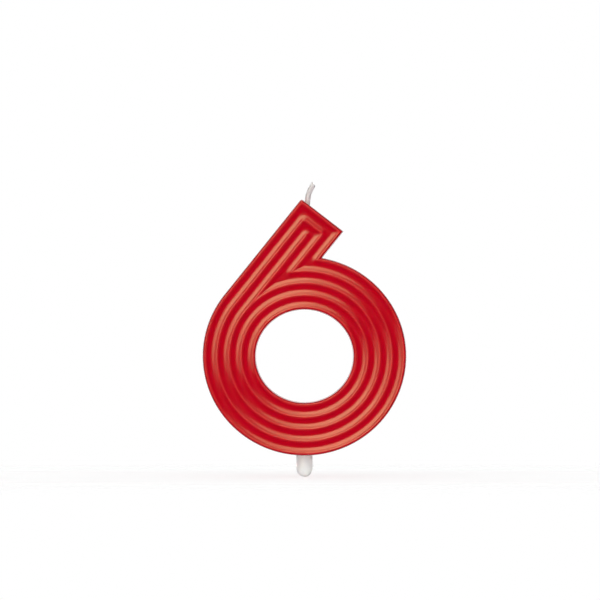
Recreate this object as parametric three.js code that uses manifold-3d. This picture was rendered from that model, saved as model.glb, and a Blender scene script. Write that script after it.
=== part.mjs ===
// Figure-six number candle: a fluted wax numeral, the cotton wick cast into it and the plastic peg
// that stands it in a cake. Millimetres, +Z up, with the fluted front looking along -Y.
// The origin is on the peg's axis at the lowest point of the wax, half way through its thickness.

import * as THREE from 'three';
import { mergeVertices } from 'three/addons/utils/BufferGeometryUtils.js';
import Module from 'manifold-3d';

const wasm = await Module();
wasm.setup();

// Wax numeral
const waxHeight = 70; // lowest point of the bowl to the stem's rounded top corner
const bowlWidth = 55.8;
const bowlHeight = 54.5;
const strokeWidth = 14.65; // bowl and stem alike
const stemLean = THREE.MathUtils.degToRad(51.2); // above the horizontal
const endLean = THREE.MathUtils.degToRad(52.3); // of the way that the stem's end faces, nearly square to it
const waxThickness = 10;
const draft = 0.12; // the front is this much smaller all round than the back, to leave the mould
const backRound = 0.6;
const frontRound = 0.5; // of the front edge, across the front
const frontRoll = 2.2; // of the same edge, through the thickness
const tipRound = 0.7; // of the stem's top corner

// Fluting of the front: hollow flutes between narrow flat crests, parallel to the figure's edges
const flutesEachSide = 2; // between an edge of the stroke and the crest along its middle
const fluteDepth = 0.6;
const crestWidth = 0.3;
const fluteCornerRound = 0.8; // at the stem's end, where the width left between the corners allows it
const leastRound = 0.12; // of corners and of the notch, where nothing rounds them more

// Wick
const wickDiameter = 1.5;
const wickStraight = 2.8; // from the wax to where the wick starts to curl over
const wickCurled = 2.9; // from there to the middle of its cut tip
const wickFromCorner = 2.1; // from the stem's top corner to where the wick leaves the top edge
const wickLeanAtWax = THREE.MathUtils.degToRad(81);
const wickLeanAtTip = THREE.MathUtils.degToRad(42);
const wickCutFacing = THREE.MathUtils.degToRad(33); // of its slanting cut, above the horizontal
const wickRunsOn = 4; // it keeps its lean this far into the wax
const wickMerge = 12; // length of stem over which it swings in to the middle of the stroke
const wickStop = THREE.MathUtils.degToRad(228); // place on the bowl where its buried end lies

// Peg
const pegDiameter = 4.3;
const pegExposed = 5.7;
const pegEndLength = 2.6; // of its round end, along the peg
const pegBuried = 8.6;
const pegNeckDepth = 0.45; // waists that the wax grips
const pegNeckPitch = 2.6;
const pegNecks = 2;
const pegFirstNeck = 1.4; // above the wax's lowest point
const pegTopChamfer = 0.6;

const castGap = 0.3; // between the wax and what is cast into it

// Mesh steps
const bowlSteps = 76;
const towardsNotchSteps = 9; // share of the bowl's arc that closes up on the notch
const notchSteps = 6;
const cornerSteps = 4;
const bankSteps = 4; // from a crest down to the middle of a flute
const roundSteps = 2;
const rollSteps = 4;
const wickSides = 12;
const wickSteps = 48;
const wickStemPoints = 3; // guide points of its centre line
const wickBowlPoints = 4;
const pegSides = 24;
const pegEndSteps = 6;
const pegNeckSteps = 5;
const weldWithin = 1e-4;

const origin = new THREE.Vector2();

// A step in the figure's plane
function step(angle, length) {
  return new THREE.Vector2(length, 0).rotateAround(origin, angle);
}

// Directions in that plane: along the stem, across it to its left, and out of its end
const along = step(stemLean, 1);
const across = step(stemLean + Math.PI / 2, 1);
const endward = step(endLean, 1);

function stemPoint(alongBy, acrossBy) {
  return along.clone().multiplyScalar(alongBy).addScaledVector(across, acrossBy);
}

// Distance from the bowl's centre to the stem's left edge, which is tangent to the bowl's ellipse
function tangentReach(inset) {
  return Math.hypot((bowlWidth / 2 - inset) * across.x, (bowlHeight / 2 - inset) * across.y);
}

// Centre of the top corner's rounding, and from it the distance from the bowl's centre to the stem's
// end, square to that end
const tipAcross = tangentReach(0) - tipRound;
const tipRise = waxHeight - bowlHeight / 2 - tipRound;
const tipCentre = stemPoint((tipRise - across.y * tipAcross) / along.y, tipAcross);
const endReach = tipCentre.dot(endward) + tipRound;

// The point of the stem's end, drawn in by an inset, that lies this far across
function endPoint(inset, acrossBy) {
  return stemPoint((endReach - inset - across.dot(endward) * acrossBy) / along.dot(endward), acrossBy);
}

function ellipsePoint(inset, angle) {
  const x = (bowlWidth / 2 - inset) * Math.cos(angle);
  const y = (bowlHeight / 2 - inset) * Math.sin(angle);
  return new THREE.Vector2(x, y);
}

// Angle on the ellipse where the left edge touches it
function tangentAngle(inset) {
  return Math.atan2((bowlHeight / 2 - inset) * across.y, (bowlWidth / 2 - inset) * across.x);
}

// Distance from the bowl's centre to the stem's right edge
const rightReach = (inset) => tangentReach(0) - strokeWidth + inset;

// Angle on the ellipse where the stem's right edge, moved in by the inset, meets it
const notchAngle = (inset) => tangentAngle(inset) - Math.acos(rightReach(inset) / tangentReach(inset));

// Evenly spaced values that start at the first and stop one step short of the last
function evenlyFrom(from, to, count) {
  return Array.from({ length: count }, (_, i) => from + ((to - from) * i) / count);
}

function arcAbout(centre, radius, from, to, count) {
  const angles = [...evenlyFrom(from, to, count), to];
  return angles.map((angle) => step(angle, radius).add(centre));
}

// The figure's outer outline drawn in by an inset, with its two stem corners and its notch rounded.
// Most of the bowl keeps its points at every inset, and the last stretch follows the notch.
function figureLoop({ inset, cornerRound, notchRound }) {
  const leftRound = Math.max(cornerRound, tipRound - inset);
  const steady = notchAngle(0) + 2 * Math.PI - (2 * Math.PI) / bowlSteps;
  const notch = notchAngle(inset - notchRound);
  const angles = [
    ...evenlyFrom(tangentAngle(inset), steady, bowlSteps),
    ...evenlyFrom(steady, notch + 2 * Math.PI, towardsNotchSteps),
  ];
  const notchCentre = ellipsePoint(inset - notchRound, notch);
  const rightCentre = endPoint(inset + cornerRound, rightReach(inset + cornerRound));
  const leftCentre = endPoint(inset + leftRound, tangentReach(inset + leftRound));
  const quarter = Math.PI / 2;
  return [
    ...angles.map((angle) => ellipsePoint(inset, angle)),
    ...arcAbout(notchCentre, notchRound, notch + Math.PI, stemLean + quarter, notchSteps),
    ...arcAbout(rightCentre, cornerRound, stemLean - quarter, endLean, cornerSteps),
    ...arcAbout(leftCentre, leftRound, endLean, stemLean + quarter, cornerSteps),
  ];
}

// The bowl's opening, drawn back into the stroke by an inset
function holeLoop({ inset }) {
  return evenlyFrom(0, 2 * Math.PI, bowlSteps).map((angle) => ellipsePoint(strokeWidth - inset, angle));
}

// Half of the stroke's section, from the flat back round the wall and over the flutes to the middle
// crest. Each level is a distance in from the wall, a place through the thickness, and the rounding
// of the corners and the notch there.
function strokeLevels() {
  const back = waxThickness / 2;
  const front = -waxThickness / 2;
  const wallLevel = (inset, y) => ({ inset, y, cornerRound: leastRound, notchRound: leastRound });
  const levels = [];
  for (let i = 0; i <= roundSteps; i++) {
    const turn = ((Math.PI / 2) * i) / roundSteps;
    levels.push(wallLevel(backRound * (1 - Math.sin(turn)), back - backRound * (1 - Math.cos(turn))));
  }
  for (let i = 0; i <= rollSteps; i++) {
    const turn = ((Math.PI / 2) * i) / rollSteps;
    const inset = draft + frontRound * (1 - Math.cos(turn));
    levels.push(wallLevel(inset, front + frontRoll * (1 - Math.sin(turn))));
  }
  const edgeCrest = draft + frontRound + crestWidth / 2;
  const pitch = (strokeWidth / 2 - edgeCrest) / flutesEachSide;
  for (let k = 0; k < flutesEachSide; k++) {
    levels.push(...fluteLevels(edgeCrest + k * pitch, pitch, front));
  }
  return levels;
}

// One hollow flute from crest to crest, an arc of a circle across. Each of its banks keeps a steady
// distance from its own crest, so it is rounded where the crest turns away from it. At the stem's end
// all of them turn in a soft corner.
function fluteLevels(crest, pitch, front) {
  const halfWidth = (pitch - crestWidth) / 2;
  const radius = (halfWidth ** 2 + fluteDepth ** 2) / (2 * fluteDepth);
  const halfTurn = Math.asin(halfWidth / radius);
  const levels = [];
  for (let i = 0; i <= 2 * bankSteps; i++) {
    const turn = halfTurn * (i / bankSteps - 1);
    const inset = crest + pitch / 2 + radius * Math.sin(turn);
    const y = front + radius * Math.cos(turn) - (radius - fluteDepth);
    const onOuterBank = i <= bankSteps;
    const fromInnerCrest = onOuterBank ? 0 : crest + pitch - inset;
    levels.push({
      inset,
      y,
      cornerRound: Math.min(fluteCornerRound + fromInnerCrest, strokeWidth / 2 - inset),
      notchRound: onOuterBank ? inset - crest : leastRound,
    });
  }
  return levels;
}

const inSpace = (point, y) => new THREE.Vector3(point.x, y, point.y + bowlHeight / 2);

// Triangles of the skin through a run of closed loops
function skin(levels, loopAt) {
  const rows = levels.map((level) => loopAt(level).map((point) => inSpace(point, level.y)));
  const corners = [];
  for (let r = 1; r < rows.length; r++) {
    const [low, high] = [rows[r - 1], rows[r]];
    low.forEach((here, i) => {
      const next = (i + 1) % low.length;
      corners.push(here, low[next], high[next], here, high[next], high[i]);
    });
  }
  return corners;
}

// Triangles of a flat face between the outer loop and the opening's loop
function flatFace(level) {
  const outer = figureLoop(level);
  const inner = holeLoop(level);
  const points = [...outer, ...inner];
  const faces = THREE.ShapeUtils.triangulateShape(outer, [inner]);
  return faces.flatMap((face) => face.map((index) => inSpace(points[index], level.y)));
}

const turnedOver = (corners) => corners.map((_, i) => corners[i - (i % 3) + (2 - (i % 3))]);

function solidOf(geometry) {
  const bare = new THREE.BufferGeometry();
  bare.setAttribute('position', geometry.getAttribute('position'));
  bare.setIndex(geometry.getIndex());
  const merged = mergeVertices(bare, weldWithin);
  return new wasm.Manifold(new wasm.Mesh({
    numProp: 3,
    vertProperties: new Float32Array(merged.getAttribute('position').array),
    triVerts: new Uint32Array(merged.getIndex().array),
  }));
}

function geometryOf(solid) {
  const mesh = solid.getMesh();
  const geometry = new THREE.BufferGeometry();
  geometry.setAttribute('position', new THREE.BufferAttribute(mesh.vertProperties, 3));
  geometry.setIndex(new THREE.BufferAttribute(mesh.triVerts, 1));
  const faceted = geometry.toNonIndexed();
  faceted.computeVertexNormals();
  return faceted;
}

function castNumeral() {
  const levels = strokeLevels();
  const backFace = flatFace(levels[0]);
  const middleCrest = flatFace(levels[levels.length - 1]);
  return new THREE.BufferGeometry().setFromPoints([
    ...skin(levels, figureLoop),
    ...turnedOver(skin(levels, holeLoop)),
    ...turnedOver(backFace),
    ...middleCrest,
  ]);
}

// Places on the wick's centre line: where it leaves the wax, where it bends and the middle of its tip
const wickLeaving = endPoint(0, tangentReach(0) - wickFromCorner);
const wickBend = wickLeaving.clone().add(step(wickLeanAtWax, wickStraight));
const wickTip = wickBend.clone().add(step((wickLeanAtWax + wickLeanAtTip) / 2, wickCurled));

// The wick's centre line, from past its tip down into the stem, along the middle of the stroke and
// round the bowl's left side. The buried end runs on by the overrun.
function wickPath(overrun) {
  const uncut = wickTip.clone().add(step(wickLeanAtTip, wickDiameter / 2));
  const inside = wickLeaving.clone().sub(step(wickLeanAtWax, wickRunsOn));
  const middle = strokeWidth / 2;
  const reaches = evenlyFrom(endReach - wickMerge, 0, wickStemPoints);
  const stemRun = reaches.map((reach) => stemPoint(reach, tangentReach(0) - middle));
  const meanRadius = (bowlWidth + bowlHeight) / 4 - middle;
  const buriedEnd = wickStop + overrun / meanRadius;
  const bowlRun = [...evenlyFrom(tangentAngle(middle), buriedEnd, wickBowlPoints), buriedEnd]
    .map((angle) => ellipsePoint(middle, angle));
  const route = [uncut, wickTip, wickBend, wickLeaving, inside, ...stemRun, ...bowlRun];
  const guides = route.map((point) => inSpace(point, 0));
  return new THREE.CatmullRomCurve3(guides, false, 'centripetal');
}

function alongWick(radius, overrun) {
  const section = new THREE.Shape().absarc(0, 0, radius, 0, 2 * Math.PI);
  return new THREE.ExtrudeGeometry(section, {
    steps: wickSteps,
    curveSegments: wickSides / 2,
    bevelEnabled: false,
    extrudePath: wickPath(overrun),
  });
}

// The wick with its tip cut on the slant
function cutWick() {
  const inward = step(wickCutFacing + Math.PI, 1);
  const kept = new THREE.Vector3(inward.x, 0, inward.y);
  return solidOf(alongWick(wickDiameter / 2, 0)).trimByPlane(kept.toArray(), inSpace(wickTip, 0).dot(kept));
}

// The peg turned about its axis: a round end, a plain shank and the necks that the wax grips.
// The gap swells it all over, which gives the hollow that it leaves in the wax.
function turnedPeg(gap) {
  const radius = pegDiameter / 2;
  const endTop = pegEndLength - pegExposed;
  const profile = [];
  for (let i = 0; i <= pegEndSteps; i++) {
    const turn = ((Math.PI / 2) * i) / pegEndSteps;
    const out = (radius + gap) * Math.sin(turn);
    profile.push(new THREE.Vector2(out, endTop - (pegEndLength + gap) * Math.cos(turn)));
  }
  const neckRun = pegNecks * pegNeckPitch;
  const steps = pegNecks * pegNeckSteps;
  for (let i = 0; i <= steps; i++) {
    const height = (neckRun * i) / steps;
    const waist = pegNeckDepth * Math.sin((Math.PI * height) / pegNeckPitch) ** 2;
    profile.push(new THREE.Vector2(radius - waist + gap, pegFirstNeck + height));
  }
  profile.push(new THREE.Vector2(radius + gap, pegBuried + gap - pegTopChamfer));
  profile.push(new THREE.Vector2(radius + gap - pegTopChamfer, pegBuried + gap));
  profile.push(new THREE.Vector2(0, pegBuried + gap));
  return new THREE.LatheGeometry(profile, pegSides).rotateX(Math.PI / 2);
}

function namedPiece(name, geometry, colour, roughness) {
  const material = new THREE.MeshStandardMaterial({ color: colour, roughness, metalness: 0 });
  const piece = new THREE.Mesh(geometry, material);
  piece.name = name;
  return piece;
}

const wax = solidOf(castNumeral())
  .subtract(solidOf(alongWick(wickDiameter / 2 + castGap, castGap)))
  .subtract(solidOf(turnedPeg(castGap)));

const candle = new THREE.Group();
candle.add(namedPiece('wax_numeral', geometryOf(wax), 0xb8041f, 0.32));
candle.add(namedPiece('wick', geometryOf(cutWick()), 0xdad6ce, 0.9));
candle.add(namedPiece('peg', turnedPeg(0), 0xe4e7e8, 0.35));

export default candle;
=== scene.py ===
# A figure-six cake candle: fluted red wax, a braided cotton wick and a moulded peg, in a plain pale studio.

import math

import bpy
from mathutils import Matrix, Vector
from mathutils.geometry import tessellate_polygon


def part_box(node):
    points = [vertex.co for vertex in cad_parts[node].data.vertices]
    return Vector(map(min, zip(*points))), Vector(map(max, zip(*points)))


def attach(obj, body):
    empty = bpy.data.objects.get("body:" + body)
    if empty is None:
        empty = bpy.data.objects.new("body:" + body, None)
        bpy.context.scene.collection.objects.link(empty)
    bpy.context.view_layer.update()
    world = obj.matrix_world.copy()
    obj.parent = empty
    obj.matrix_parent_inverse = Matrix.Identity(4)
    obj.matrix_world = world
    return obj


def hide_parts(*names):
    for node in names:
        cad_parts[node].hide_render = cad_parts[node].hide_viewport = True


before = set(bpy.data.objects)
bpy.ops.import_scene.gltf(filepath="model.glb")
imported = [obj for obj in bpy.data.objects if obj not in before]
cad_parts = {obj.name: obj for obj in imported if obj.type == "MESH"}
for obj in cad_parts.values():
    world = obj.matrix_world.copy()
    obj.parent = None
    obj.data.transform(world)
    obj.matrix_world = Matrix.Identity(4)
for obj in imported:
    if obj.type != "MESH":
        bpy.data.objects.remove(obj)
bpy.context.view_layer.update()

MM = 0.001
WAX_LOW, WAX_HIGH = [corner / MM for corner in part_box("wax_numeral")]
PEG_LOW, PEG_HIGH = [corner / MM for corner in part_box("peg")]

# Sizes of the numeral, in millimetres from here on
WAX_HEIGHT = 70
BOWL_HALF_WIDTH = WAX_HIGH.x
BOWL_HALF_HEIGHT = 27.25
STROKE = 14.65
STEM_LEAN = math.radians(51.2)
END_LEAN = math.radians(52.3)
BACK = WAX_HIGH.y
FRONT = WAX_LOW.y
DRAFT = 0.12
BACK_ROUND = 0.6
FRONT_ROUND = 0.5
FRONT_ROLL = 2.2
BACK_DISH = 0.15
BACK_DISH_REACH = STROKE / 4
TIP_ROUND = 0.7
LEAST_ROUND = 0.12

# Fluting: the reach of the crests' painted highlight, a paler red tint, is how far it goes down a flute
FLUTES_EACH_SIDE = 2
FLUTE_DEPTH = 0.6
CREST_WIDTH = 0.3
FLUTE_CORNER_ROUND = 0.8
CREST_SOFTNESS = 0.06
CREST_HIGHLIGHT_REACH = 0.32
HALF_RIDGE = 0.04
EDGE_CREST = DRAFT + FRONT_ROUND + CREST_WIDTH / 2
FLUTE_PITCH = (STROKE / 2 - EDGE_CREST) / FLUTES_EACH_SIDE

# Wick
WICK_RADIUS = 0.75
WICK_STRAIGHT = 2.8
WICK_CURLED = 2.9
WICK_FROM_CORNER = 2.1
WICK_LEAN_AT_WAX = math.radians(81)
WICK_LEAN_AT_TIP = math.radians(42)
WICK_CUT_FACING = math.radians(33)
WICK_CUT_BACK = 0.18
WICK_RUNS_ON = 4
WICK_MERGE = 12
WICK_STOP = math.radians(228)
BRAID_STRANDS = 4
BRAID_PITCH = 3.4
BRAID_RELIEF = 0.05
BRAID_DIP = 0.45
STRAND_FULLNESS = 0.6

# Peg
PEG_RADIUS = (PEG_HIGH.x - PEG_LOW.x) / 2
PEG_END_LENGTH = 2.6
PEG_CHAMFER = 0.6
PEG_NECKS = 2
PEG_NECKS_FROM = 1.4
PEG_NECK_PITCH = 2.6
PEG_NECK_DEPTH = 0.45
PARTING_LINE_HEIGHT = 0.05
PARTING_LINE_SPREAD = 0.09

# Steps of the fine meshes: the crowding draws those across a flute together at its crests
BOWL_STEPS = 300
TOWARDS_NOTCH_STEPS = 48
NOTCH_STEPS = 12
CORNER_STEPS = 10
FLUTE_STEPS = 26
CREST_CROWDING = 0.7
RIM_STEPS = 2
ROUND_STEPS = 6
WICK_SIDES = 48
WICK_STEP = 0.06
WICK_BURIED_STRIDE = 10
WICK_FINE_PAST_WAX = 3
PEG_SIDES = 96
PEG_END_STEPS = 14
PEG_NECK_STEPS = 12


def direction(angle):
    """The unit vector at this angle in the figure's plane."""
    return Vector((math.cos(angle), math.sin(angle)))


ALONG = direction(STEM_LEAN)
ACROSS = direction(STEM_LEAN + math.pi / 2)
ENDWARD = direction(END_LEAN)


def steps(start, end, count):
    """Evenly spaced values that start at the first and stop one step short of the last."""
    return [start + (end - start) * i / count for i in range(count)]


def tangent_reach(inset):
    """Distance from the bowl's centre to the stem's left side, drawn in by an inset."""
    return math.hypot((BOWL_HALF_WIDTH - inset) * ACROSS.x, (BOWL_HALF_HEIGHT - inset) * ACROSS.y)


def tangent_angle(inset):
    """The bowl's angle at which the stem's left side touches it and leaves it."""
    return math.atan2((BOWL_HALF_HEIGHT - inset) * ACROSS.y, (BOWL_HALF_WIDTH - inset) * ACROSS.x)


def right_reach(inset):
    """Distance from the bowl's centre to the stem's right side, drawn in by an inset."""
    return tangent_reach(0) - STROKE + inset


def notch_angle(inset):
    """The bowl's angle at which the stem's right side meets it."""
    return tangent_angle(inset) - math.acos(right_reach(inset) / tangent_reach(inset))


def ellipse_point(inset, angle):
    """The point at this angle of the bowl's outline, drawn in by an inset."""
    return Vector(
        ((BOWL_HALF_WIDTH - inset) * math.cos(angle), (BOWL_HALF_HEIGHT - inset) * math.sin(angle))
    )


def stem_point(along_by, across_by):
    """The point this far up along the stem and this far across to its left, from the bowl's centre."""
    return ALONG * along_by + ACROSS * across_by


def end_reach():
    """Distance from the bowl's centre to the stem's end, square to it: its rounded corner is the top."""
    across_by = tangent_reach(0) - TIP_ROUND
    rise = WAX_HEIGHT - BOWL_HALF_HEIGHT - TIP_ROUND
    return stem_point((rise - ACROSS.y * across_by) / ALONG.y, across_by).dot(ENDWARD) + TIP_ROUND


END_REACH = end_reach()


def end_point(inset, across_by):
    """The point of the stem's end, drawn in by an inset, that lies this far across."""
    along_by = (END_REACH - inset - ACROSS.dot(ENDWARD) * across_by) / ALONG.dot(ENDWARD)
    return stem_point(along_by, across_by)


def arc_about(centre, radius, start, end, count):
    """Points on an arc from one angle to another, with both of its ends."""
    return [centre + direction(turn) * radius for turn in steps(start, end, count) + [end]]


def figure_loop(inset, corner_round, notch_round):
    """The six's outer outline drawn in by an inset, rounded at the stem's corners and at the notch."""
    steady = notch_angle(0) + 2 * math.pi - 2 * math.pi / BOWL_STEPS
    notch = notch_angle(inset - notch_round)
    angles = steps(tangent_angle(inset), steady, BOWL_STEPS)
    angles += steps(steady, notch + 2 * math.pi, TOWARDS_NOTCH_STEPS)
    points = [ellipse_point(inset, angle) for angle in angles]
    quarter = math.pi / 2
    notch_centre = ellipse_point(inset - notch_round, notch)
    points += arc_about(notch_centre, notch_round, notch + math.pi, STEM_LEAN + quarter, NOTCH_STEPS)
    right_centre = end_point(inset + corner_round, right_reach(inset + corner_round))
    points += arc_about(right_centre, corner_round, STEM_LEAN - quarter, END_LEAN, CORNER_STEPS)
    left_round = max(corner_round, TIP_ROUND - inset)
    left_centre = end_point(inset + left_round, tangent_reach(inset + left_round))
    points += arc_about(left_centre, left_round, END_LEAN, STEM_LEAN + quarter, CORNER_STEPS)
    return points


def hole_loop(inset, corner_round, notch_round):
    """The bowl's opening drawn back into the stroke by an inset. It has no corner or notch to round."""
    return [ellipse_point(STROKE - inset, angle) for angle in steps(0, 2 * math.pi, BOWL_STEPS)]


def flute_depth(inset):
    """How far the fluted face lies behind its crests: hollow arcs with softly rounded crests between."""
    half = (FLUTE_PITCH - CREST_WIDTH) / 2
    radius = (half**2 + FLUTE_DEPTH**2) / (2 * FLUTE_DEPTH)
    depth = -FLUTE_DEPTH
    for k in range(FLUTES_EACH_SIDE + 1):
        off = inset - EDGE_CREST - (k + 0.5) * FLUTE_PITCH
        if abs(off) < radius:
            depth = max(depth, math.sqrt(radius**2 - off**2) - radius + FLUTE_DEPTH)
    return (depth + math.hypot(depth, CREST_SOFTNESS)) / 2


def painted_crest_highlight(inset):
    """Weight of the painted crest highlight: 1 on a crest's middle, falling to 0 a little way down the
    flute.
    """
    off = (inset - EDGE_CREST) / FLUTE_PITCH
    distance = abs(off - round(off)) * FLUTE_PITCH
    return math.exp(-((distance / CREST_HIGHLIGHT_REACH) ** 2))


def plain_rounds(inset):
    """Rounding of the corners and of the notch where the outline isn't fluted."""
    return min(LEAST_ROUND, STROKE / 2 - inset), LEAST_ROUND


def bank_rounds(inset):
    """Rounding of the corners and of the notch: a flute's bank keeps a steady distance from its crest."""
    place = (inset - EDGE_CREST) % FLUTE_PITCH
    on_outer_bank = place <= FLUTE_PITCH / 2
    corner = FLUTE_CORNER_ROUND + (0 if on_outer_bank else FLUTE_PITCH - place)
    notch = max(LEAST_ROUND, place) if on_outer_bank else LEAST_ROUND
    return min(corner, STROKE / 2 - inset), notch


def stroke_levels():
    """Half the stroke's section as (loop settings, y, weight of the painted crest highlight), from the back
    to the middle crest.
    """
    middle = STROKE / 2 - HALF_RIDGE
    levels = []
    for inset in steps(middle, BACK_ROUND, 2 * ROUND_STEPS):
        sunk = math.sin(math.pi / 2 * min(1, (inset - BACK_ROUND) / BACK_DISH_REACH))
        levels.append(((inset, *plain_rounds(inset)), BACK - BACK_DISH * sunk, 0))
    for turn in steps(0, math.pi / 2, ROUND_STEPS):
        inset = BACK_ROUND * (1 - math.sin(turn))
        levels.append(((inset, *plain_rounds(inset)), BACK - BACK_ROUND * (1 - math.cos(turn)), 0))
    for share in steps(0, 1, ROUND_STEPS):
        inset = DRAFT * share
        height = BACK - BACK_ROUND + (FRONT + FRONT_ROLL - BACK + BACK_ROUND) * share
        levels.append(((inset, *plain_rounds(inset)), height, 0))
    for turn in steps(0, math.pi / 2, 2 * ROUND_STEPS):
        inset = DRAFT + FRONT_ROUND * (1 - math.cos(turn))
        levels.append(((inset, *plain_rounds(inset)), FRONT + FRONT_ROLL * (1 - math.sin(turn)), 0))
    for inset in steps(DRAFT + FRONT_ROUND, EDGE_CREST, RIM_STEPS):
        levels.append(((inset, *plain_rounds(inset)), FRONT + flute_depth(inset), painted_crest_highlight(inset)))
    for flute in steps(0, FLUTES_EACH_SIDE, FLUTES_EACH_SIDE * FLUTE_STEPS):
        crowded = flute - CREST_CROWDING * math.sin(2 * math.pi * flute) / (2 * math.pi)
        inset = EDGE_CREST + FLUTE_PITCH * crowded
        if inset < middle:
            levels.append(((inset, *bank_rounds(inset)), FRONT + flute_depth(inset), painted_crest_highlight(inset)))
    levels.append(((middle, *bank_rounds(middle)), FRONT + flute_depth(middle), painted_crest_highlight(middle)))
    return levels


def mesh_piece(name, points, faces):
    """A new object at the origin whose mesh is these points, in millimetres, and faces."""
    mesh = bpy.data.meshes.new(name)
    mesh.from_pydata([tuple(p * MM for p in point) for point in points], [], faces)
    piece = bpy.data.objects.new(name, mesh)
    bpy.context.collection.objects.link(piece)
    for polygon in mesh.polygons:
        polygon.use_smooth = True
    return piece


def only(piece):
    """Makes the piece the one selected and active object."""
    bpy.ops.object.select_all(action="DESELECT")
    piece.select_set(True)
    bpy.context.view_layer.objects.active = piece


def wax_numeral():
    """Lofts the numeral through nested outlines, and closes its middle crest and the middle of its back."""
    levels = stroke_levels()
    points, highlight_weights, faces = [], [], []
    ends = []
    for loop_at, turned in ((figure_loop, False), (hole_loop, True)):
        rows = []
        for settings, y, crest in levels:
            loop = loop_at(*settings)
            rows.append(range(len(points), len(points) + len(loop)))
            points += [(p.x, y, p.y + BOWL_HALF_HEIGHT) for p in loop]
            highlight_weights += [crest] * len(loop)
        for low, high in zip(rows, rows[1:]):
            for i in range(len(low)):
                j = (i + 1) % len(low)
                face = (low[i], low[j], high[j], high[i])
                faces.append(face[::-1] if turned else face)
        ends.append((rows[0], rows[-1]))
    (outer_back, outer_front), (inner_back, inner_front) = ends
    for outer, inner, faces_front in ((outer_back, inner_back, False), (outer_front, inner_front, True)):
        index = list(outer) + list(inner)
        rings = [[Vector((points[i][0], points[i][2], 0)) for i in ring] for ring in (outer, inner)]
        for triangle in tessellate_polygon(rings):
            a, b, c = [Vector((points[index[i]][0], points[index[i]][2])) for i in triangle]
            upward = (b - a).cross(c - a) > 0
            face = [index[i] for i in triangle]
            faces.append(face if upward == faces_front else face[::-1])
    piece = mesh_piece("numeral", points, faces)
    # The crest attribute carries the weight of the painted highlight on the crests
    weight = piece.data.attributes.new("crest", "FLOAT", "POINT")
    weight.data.foreach_set("value", highlight_weights)
    return piece


def curve_through(guides, spacing):
    """Points a given spacing apart, at most, on a centripetal Catmull-Rom curve through the guides."""
    padded = [guides[0] * 2 - guides[1], *guides, guides[-1] * 2 - guides[-2]]
    made = []
    for p0, p1, p2, p3 in zip(padded, padded[1:], padded[2:], padded[3:]):
        t1 = (p1 - p0).length ** 0.5
        t2 = t1 + (p2 - p1).length ** 0.5
        t3 = t2 + (p3 - p2).length ** 0.5
        for t in steps(t1, t2, max(1, math.ceil((p2 - p1).length / spacing))):
            a1 = p0.lerp(p1, t / t1)
            a2 = p1.lerp(p2, (t - t1) / (t2 - t1))
            a3 = p2.lerp(p3, (t - t2) / (t3 - t2))
            b1 = a1.lerp(a2, t / t2)
            b2 = a2.lerp(a3, (t - t1) / (t3 - t1))
            made.append(b1.lerp(b2, (t - t1) / (t2 - t1)))
    return made + [guides[-1]]


WICK_LEAVING = end_point(0, tangent_reach(0) - WICK_FROM_CORNER)
WICK_BEND = WICK_LEAVING + direction(WICK_LEAN_AT_WAX) * WICK_STRAIGHT
WICK_TIP = WICK_BEND + direction((WICK_LEAN_AT_WAX + WICK_LEAN_AT_TIP) / 2) * WICK_CURLED


def wick_route():
    """Guide points of the wick's centre line, from past its tip to its buried end."""
    uncut = WICK_TIP + direction(WICK_LEAN_AT_TIP) * WICK_RADIUS
    inside = WICK_LEAVING - direction(WICK_LEAN_AT_WAX) * WICK_RUNS_ON
    middle = STROKE / 2
    stem_guides = 3
    bowl_guides = 4
    reaches = steps(END_REACH - WICK_MERGE, 0, stem_guides)
    stem = [stem_point(reach, tangent_reach(0) - middle) for reach in reaches]
    angles = steps(tangent_angle(middle), WICK_STOP, bowl_guides) + [WICK_STOP]
    bowl = [ellipse_point(middle, angle) for angle in angles]
    return [uncut, WICK_TIP, WICK_BEND, WICK_LEAVING, inside, *stem, *bowl]


def braid_height(turn, length):
    """Relief of a flat-laid braid, 0 to 1: two sets of strands that pass over and under each other."""
    wound = 2 * math.pi * length / BRAID_PITCH
    left = BRAID_STRANDS * (turn + wound)
    right = BRAID_STRANDS * (turn - wound)
    over = (1 + math.cos((left + right) / 2) * math.cos((left - right) / 2)) / 2
    ridge_left = abs(math.cos(left / 2)) ** STRAND_FULLNESS
    ridge_right = abs(math.cos(right / 2)) ** STRAND_FULLNESS
    return max(ridge_left * (1 - BRAID_DIP * (1 - over)), ridge_right * (1 - BRAID_DIP * over))


def wick_stations():
    """The points of the wick's centre line and their lengths along it, closer together where it shows."""
    route = curve_through(wick_route(), WICK_STEP)
    fine_until = WICK_STRAIGHT + WICK_CURLED + WICK_FINE_PAST_WAX
    stations = []
    length = 0
    for i, centre in enumerate(route):
        length += (centre - route[i - 1]).length if i else 0
        if length < fine_until or i % WICK_BURIED_STRIDE == 0 or i == len(route) - 1:
            stations.append((centre, length))
    return stations


def cut_wick_tip(piece):
    """Cuts the wick off on the slant at its tip and closes it with a flat face."""
    facing = direction(WICK_CUT_FACING)
    cut = WICK_TIP - facing * WICK_CUT_BACK
    only(piece)
    bpy.ops.object.mode_set(mode="EDIT")
    bpy.ops.mesh.select_all(action="SELECT")
    bpy.ops.mesh.bisect(
        plane_co=(cut.x * MM, 0, (cut.y + BOWL_HALF_HEIGHT) * MM),
        plane_no=(facing.x, 0, facing.y),
        use_fill=True,
        clear_outer=True,
    )
    bpy.ops.object.mode_set(mode="OBJECT")


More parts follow.
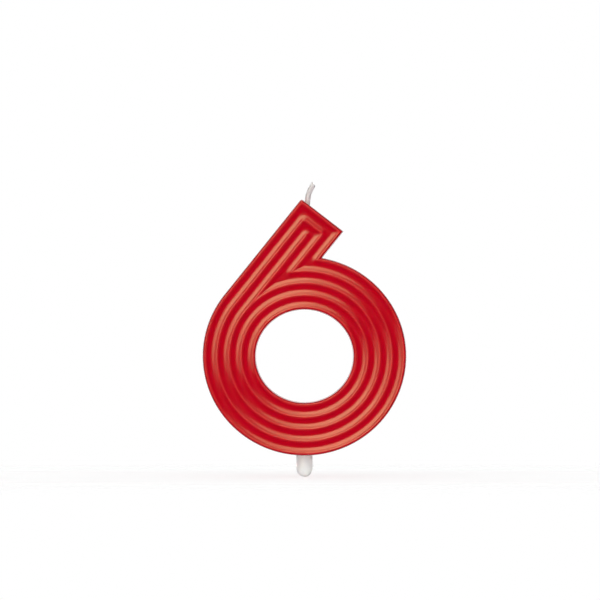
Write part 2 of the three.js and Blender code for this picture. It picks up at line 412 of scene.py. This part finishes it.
def braided_wick():
    """One braided skin along the wick's route, with its tip cut on the slant."""
    stations = wick_stations()
    points = []
    for i, (centre, length) in enumerate(stations):
        before, _ = stations[max(0, i - 1)]
        after, _ = stations[min(len(stations) - 1, i + 1)]
        way = (after - before).normalized()
        side = Vector((-way.y, way.x))
        for turn in steps(0, 2 * math.pi, WICK_SIDES):
            radius = WICK_RADIUS - BRAID_RELIEF * (1 - braid_height(turn, length))
            out = side * (radius * math.cos(turn))
            points.append((centre.x + out.x, radius * math.sin(turn), centre.y + out.y + BOWL_HALF_HEIGHT))
    faces = []
    for low in range(0, len(points) - WICK_SIDES, WICK_SIDES):
        high = low + WICK_SIDES
        for k in range(WICK_SIDES):
            j = (k + 1) % WICK_SIDES
            faces.append((low + k, high + k, high + j, low + j))
    faces.append(tuple(range(WICK_SIDES)))
    faces.append(tuple(reversed(range(len(points) - WICK_SIDES, len(points)))))
    piece = mesh_piece("braided_wick", points, faces)
    cut_wick_tip(piece)
    bpy.ops.object.shade_smooth_by_angle(angle=math.radians(50))
    return piece


def peg_profile():
    """Half the peg's section as (radius, height), from its round end up to its buried one."""
    end_top = PEG_LOW.z + PEG_END_LENGTH
    profile = []
    for turn in steps(0, math.pi / 2, PEG_END_STEPS):
        profile.append((PEG_RADIUS * math.sin(turn), end_top - PEG_END_LENGTH * math.cos(turn)))
    profile.append((PEG_RADIUS, end_top))
    necks_length = PEG_NECK_PITCH * PEG_NECKS
    for height in steps(0, necks_length, PEG_NECK_STEPS * PEG_NECKS) + [necks_length]:
        waist = PEG_NECK_DEPTH * math.sin(math.pi * height / PEG_NECK_PITCH) ** 2
        profile.append((PEG_RADIUS - waist, PEG_NECKS_FROM + height))
    profile.append((PEG_RADIUS, PEG_HIGH.z - PEG_CHAMFER))
    profile.append((PEG_RADIUS - PEG_CHAMFER, PEG_HIGH.z))
    profile.append((0, PEG_HIGH.z))
    return profile


def raise_parting_line(piece):
    """Lifts the fine line where the two halves of the peg's mould met, except on the middle of each end."""
    ends_middle = PEG_RADIUS / 4
    for vertex in piece.data.vertices:
        place = vertex.co / MM
        around = Vector((place.x, place.y, 0))
        if around.length > ends_middle:
            away = place.y / PEG_RADIUS
            raised = PARTING_LINE_HEIGHT * math.exp(-((away / PARTING_LINE_SPREAD) ** 2))
            vertex.co += around.normalized() * raised * MM


def moulded_peg():
    """The peg spun from its profile, with its mould's parting line."""
    profile = peg_profile()
    piece = mesh_piece("moulded_peg", [(r, 0, z) for r, z in profile], [])
    piece.data.edges.add(len(profile) - 1)
    piece.data.edges.foreach_set("vertices", [i for k in range(len(profile) - 1) for i in (k, k + 1)])
    only(piece)
    bpy.ops.object.mode_set(mode="EDIT")
    bpy.ops.mesh.select_all(action="SELECT")
    bpy.ops.mesh.spin(steps=PEG_SIDES, angle=2 * math.pi, center=(0, 0, 0), axis=(0, 0, 1))
    bpy.ops.mesh.select_all(action="SELECT")
    bpy.ops.mesh.remove_doubles(threshold=1e-6)
    bpy.ops.mesh.normals_make_consistent(inside=False)
    bpy.ops.object.mode_set(mode="OBJECT")
    raise_parting_line(piece)
    bpy.ops.object.shade_smooth_by_angle(angle=math.radians(40))
    return piece


def rgb(code):
    """An sRGB hex colour as linear RGBA."""
    parts = [int(code[i : i + 2], 16) / 255 for i in (1, 3, 5)]
    return (*[p / 12.92 if p <= 0.04045 else ((p + 0.055) / 1.055) ** 2.4 for p in parts], 1)


def add(tree, kind, inputs=None, **settings):
    """Adds a node with its settings, and sets or links its inputs."""
    made = tree.nodes.new(kind)
    for name, value in settings.items():
        setattr(made, name, value)
    for socket, value in (inputs or {}).items():
        if isinstance(value, bpy.types.NodeSocket):
            tree.links.new(value, made.inputs[socket])
        else:
            made.inputs[socket].default_value = value
    return made


# Socket numbers of a Mix node that mixes colours
FACTOR = 0
FROM = 6
TO = 7
MIXED = 2


def material(name):
    """A new material and its empty node tree."""
    made = bpy.data.materials.new(name)
    made.use_nodes = True
    made.node_tree.nodes.clear()
    return made, made.node_tree


# Paraffin wax, dyed through and cast in a polished mould: deep red and glossy, with a painted highlight on
# its crests, a paler red that stands in for light through the thin wax there.
# Its grain breaks up the gloss a little, and is drawn at 0.5 mm, coarser than real grain, so that it shows.
def cast_paraffin_wax():
    cloud_size = 9 * MM
    grain_size = 0.5 * MM
    made, tree = material("cast_paraffin_wax")
    place = add(tree, "ShaderNodeTexCoord").outputs["Object"]
    cloud = add(tree, "ShaderNodeTexNoise", {"Vector": place, "Scale": 1 / cloud_size, "Detail": 3.0})
    grain = add(tree, "ShaderNodeTexNoise", {"Vector": place, "Scale": 1 / grain_size, "Detail": 2.0})
    body = add(
        tree,
        "ShaderNodeMix",
        {FACTOR: cloud.outputs["Fac"], FROM: rgb("#B8021B"), TO: rgb("#C0041F")},
        data_type="RGBA",
    )
    # Painted highlight: the crest attribute mixes in a paler red that stands in for light through the thin
    # crests
    crest = add(tree, "ShaderNodeAttribute", attribute_name="crest")
    colour = add(
        tree,
        "ShaderNodeMix",
        {FACTOR: crest.outputs["Fac"], FROM: body.outputs[MIXED], TO: rgb("#CC2E31")},
        data_type="RGBA",
    )
    rough = add(tree, "ShaderNodeMapRange", {"Value": grain.outputs["Fac"], "To Min": 0.15, "To Max": 0.2})
    bump = add(
        tree,
        "ShaderNodeBump",
        {"Height": grain.outputs["Fac"], "Distance": 0.01 * MM, "Strength": 0.3},
    )
    surface = add(
        tree,
        "ShaderNodeBsdfPrincipled",
        {
            "Base Color": colour.outputs[MIXED],
            "Roughness": rough.outputs[0],
            "IOR": 1.44,
            "Subsurface Weight": 0.25,
            "Subsurface Radius": (1.0, 0.25, 0.15),
            "Subsurface Scale": 0.8 * MM,
            "Normal": bump.outputs[0],
        },
    )
    add(tree, "ShaderNodeOutputMaterial", {"Surface": surface.outputs[0]})
    return made


# Cotton braid stiffened with clear wax: off-white, matt, with a dull shine on the strands.
# Its fibres are drawn at 0.25 mm, far coarser than real ones, so that they show.
def waxed_cotton():
    fibre_size = 0.25 * MM
    made, tree = material("waxed_cotton")
    place = add(tree, "ShaderNodeTexCoord").outputs["Object"]
    fibre = add(tree, "ShaderNodeTexNoise", {"Vector": place, "Scale": 1 / fibre_size, "Detail": 4.0})
    colour = add(
        tree,
        "ShaderNodeMix",
        {FACTOR: fibre.outputs["Fac"], FROM: rgb("#CECACA"), TO: rgb("#E7E3E5")},
        data_type="RGBA",
    )
    bump = add(tree, "ShaderNodeBump", {"Height": fibre.outputs["Fac"], "Distance": 0.03 * MM})
    surface = add(
        tree,
        "ShaderNodeBsdfPrincipled",
        {
            "Base Color": colour.outputs[MIXED],
            "Roughness": 0.6,
            "IOR": 1.45,
            "Sheen Weight": 0.2,
            "Normal": bump.outputs[0],
        },
    )
    add(tree, "ShaderNodeOutputMaterial", {"Surface": surface.outputs[0]})
    return made


# Injection-moulded polypropylene, natural: milky, half see-through, with a satin skin
def natural_polypropylene():
    flow_size = 2.5 * MM
    made, tree = material("natural_polypropylene")
    place = add(tree, "ShaderNodeTexCoord").outputs["Object"]
    flow = add(tree, "ShaderNodeTexNoise", {"Vector": place, "Scale": 1 / flow_size, "Detail": 2.0})
    colour = add(
        tree,
        "ShaderNodeMix",
        {FACTOR: flow.outputs["Fac"], FROM: rgb("#F8FBFD"), TO: rgb("#FDFEFF")},
        data_type="RGBA",
    )
    rough = add(tree, "ShaderNodeMapRange", {"Value": flow.outputs["Fac"], "To Min": 0.3, "To Max": 0.42})
    surface = add(
        tree,
        "ShaderNodeBsdfPrincipled",
        {
            "Base Color": colour.outputs[MIXED],
            "Roughness": rough.outputs[0],
            "IOR": 1.49,
            "Transmission Weight": 0.45,
            "Subsurface Weight": 0.4,
            "Subsurface Radius": (1.0, 1.0, 1.0),
            "Subsurface Scale": 1.0 * MM,
        },
    )
    add(tree, "ShaderNodeOutputMaterial", {"Surface": surface.outputs[0]})
    return made


def dress(piece, finish, node_name):
    """Gives the piece its material, the node that it replaces and its body."""
    piece.data.materials.append(finish)
    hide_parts(node_name)
    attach(piece, "root")


def pale_floor():
    """A round pale sheet under the peg's tip that fades out into the white behind it."""
    radius = 400
    corners = 96
    fade_from = 60
    fade_to = 300
    seen_brightness = 1.25
    turns = steps(0, 2 * math.pi, corners)
    points = [(radius * math.cos(turn), radius * math.sin(turn), PEG_LOW.z) for turn in turns]
    floor = mesh_piece("floor", points, [tuple(range(len(points)))])
    made, tree = material("pale_floor")
    place = add(tree, "ShaderNodeTexCoord").outputs["Object"]
    distance = add(tree, "ShaderNodeVectorMath", {0: place}, operation="LENGTH")
    fade = add(
        tree,
        "ShaderNodeMapRange",
        {"Value": distance.outputs["Value"], "From Min": fade_from * MM, "From Max": fade_to * MM},
        interpolation_type="SMOOTHSTEP",
    )
    lit = add(tree, "ShaderNodeBsdfDiffuse", {"Color": rgb("#FFFFFF")})
    seen = add(tree, "ShaderNodeLightPath").outputs["Is Camera Ray"]
    brightened = add(tree, "ShaderNodeMath", {0: seen, 1: seen_brightness}, operation="MULTIPLY")
    glow = add(tree, "ShaderNodeEmission", {"Color": rgb("#FFFFFF"), "Strength": brightened.outputs[0]})
    sheet = add(tree, "ShaderNodeMixShader", {0: 0.5, 1: lit.outputs[0], 2: glow.outputs[0]})
    clear = add(tree, "ShaderNodeBsdfTransparent")
    surface = add(
        tree,
        "ShaderNodeMixShader",
        {0: fade.outputs[0], 1: sheet.outputs[0], 2: clear.outputs[0]},
    )
    add(tree, "ShaderNodeOutputMaterial", {"Surface": surface.outputs[0]})
    floor.data.materials.append(made)
    floor.visible_glossy = False
    floor.visible_diffuse = False
    floor.visible_shadow = False


def from_front(off_axis, turn):
    """Direction that many degrees off the straight front view, turned that far round from the right."""
    tilt, turn = math.radians(off_axis), math.radians(turn)
    return Vector((math.sin(tilt) * math.cos(turn), -math.cos(tilt), math.sin(tilt) * math.sin(turn)))


def soft_lamp(name, towards, half_angle, level, colour, diffuse=True, glossy=True):
    """A round patch of far-off light. A level of 1 lights a white face turned to it to plain white."""
    light = bpy.data.lights.new(name, "SUN")
    light.energy = level * math.pi
    light.angle = 2 * math.radians(half_angle)
    light.color = rgb(colour)[:3]
    light.cycles.use_multiple_importance_sampling = glossy
    held = bpy.data.objects.new(name, light)
    bpy.context.collection.objects.link(held)
    held.rotation_euler = (-towards).to_track_quat("-Z", "Y").to_euler()
    held.visible_diffuse = diffuse
    held.visible_glossy = glossy


def shine(off_axis, turn, half_angle, brightness):
    """A round patch of warm light that is seen by gloss only."""
    level = brightness * math.sin(math.radians(half_angle)) ** 2
    soft_lamp("shine", from_front(off_axis, turn), half_angle, level, "#F4E8B0", diffuse=False)


def studio():
    """White behind the object, even light in front and behind, a faint key, and four warm gloss patches."""
    world = bpy.data.worlds.new("studio")
    bpy.context.scene.world = world
    world.use_nodes = True
    world.cycles.sampling_method = "NONE"
    tree = world.node_tree
    tree.nodes.clear()
    rays = add(tree, "ShaderNodeLightPath").outputs
    way = add(tree, "ShaderNodeTexCoord").outputs["Generated"]
    way_back = add(tree, "ShaderNodeSeparateXYZ", {0: way}).outputs["Y"]
    backdrop = add(
        tree,
        "ShaderNodeMapRange",
        {"Value": way_back, "From Min": 0.88, "From Max": 0.98},
        interpolation_type="SMOOTHSTEP",
    )
    mirrored = add(
        tree,
        "ShaderNodeMath",
        {0: rays["Is Glossy Ray"], 1: backdrop.outputs[0]},
        operation="MULTIPLY",
    )
    direct = add(
        tree,
        "ShaderNodeMath",
        {0: rays["Is Camera Ray"], 1: rays["Is Transmission Ray"]},
        operation="MAXIMUM",
    )
    shown = add(tree, "ShaderNodeMath", {0: direct.outputs[0], 1: mirrored.outputs[0]}, operation="MAXIMUM")
    white = add(tree, "ShaderNodeBackground", {"Color": rgb("#FFFFFF"), "Strength": shown.outputs[0]})
    add(tree, "ShaderNodeOutputWorld", {"Surface": white.outputs[0]})
    plain = "#FFFFFF"
    soft_lamp("front_light", from_front(0, 0), half_angle=75, level=0.96, colour=plain, glossy=False)
    soft_lamp("back_light", from_front(180, 0), half_angle=75, level=0.9, colour=plain, glossy=False)
    soft_lamp("key", from_front(50, 120), half_angle=30, level=0.08, colour=plain, glossy=False)
    shine(off_axis=35.5, turn=134, half_angle=28, brightness=4.0)
    shine(off_axis=43, turn=102.5, half_angle=31.4, brightness=3.7)
    shine(off_axis=56.5, turn=169, half_angle=25.4, brightness=1.75)
    shine(off_axis=65.5, turn=77, half_angle=36, brightness=1.08)


def camera():
    """A long lens that looks straight at the middle of the photograph's frame, well above the bowl's."""
    millimetres_per_pixel = 0.2726
    frame_pixels = 600
    pixels_left_of_bowl = 4.48
    pixels_above_bowl = 56.17
    frame_width = frame_pixels * millimetres_per_pixel
    middle_x = -pixels_left_of_bowl * millimetres_per_pixel
    middle_z = BOWL_HALF_HEIGHT + pixels_above_bowl * millimetres_per_pixel
    distance = 3000
    lens = bpy.data.cameras.new("camera")
    lens.sensor_width = 36
    lens.lens = lens.sensor_width * distance / frame_width
    lens.clip_start = 0.05
    lens.clip_end = 20
    held = bpy.data.objects.new("camera", lens)
    bpy.context.collection.objects.link(held)
    held.location = Vector((middle_x, FRONT - distance, middle_z)) * MM
    held.rotation_euler = (math.pi / 2, 0, 0)
    bpy.context.scene.camera = held


dress(wax_numeral(), cast_paraffin_wax(), "wax_numeral")
dress(braided_wick(), waxed_cotton(), "wick")
dress(moulded_peg(), natural_polypropylene(), "peg")
pale_floor()
studio()
camera()
bpy.context.scene.view_settings.view_transform = "Standard"
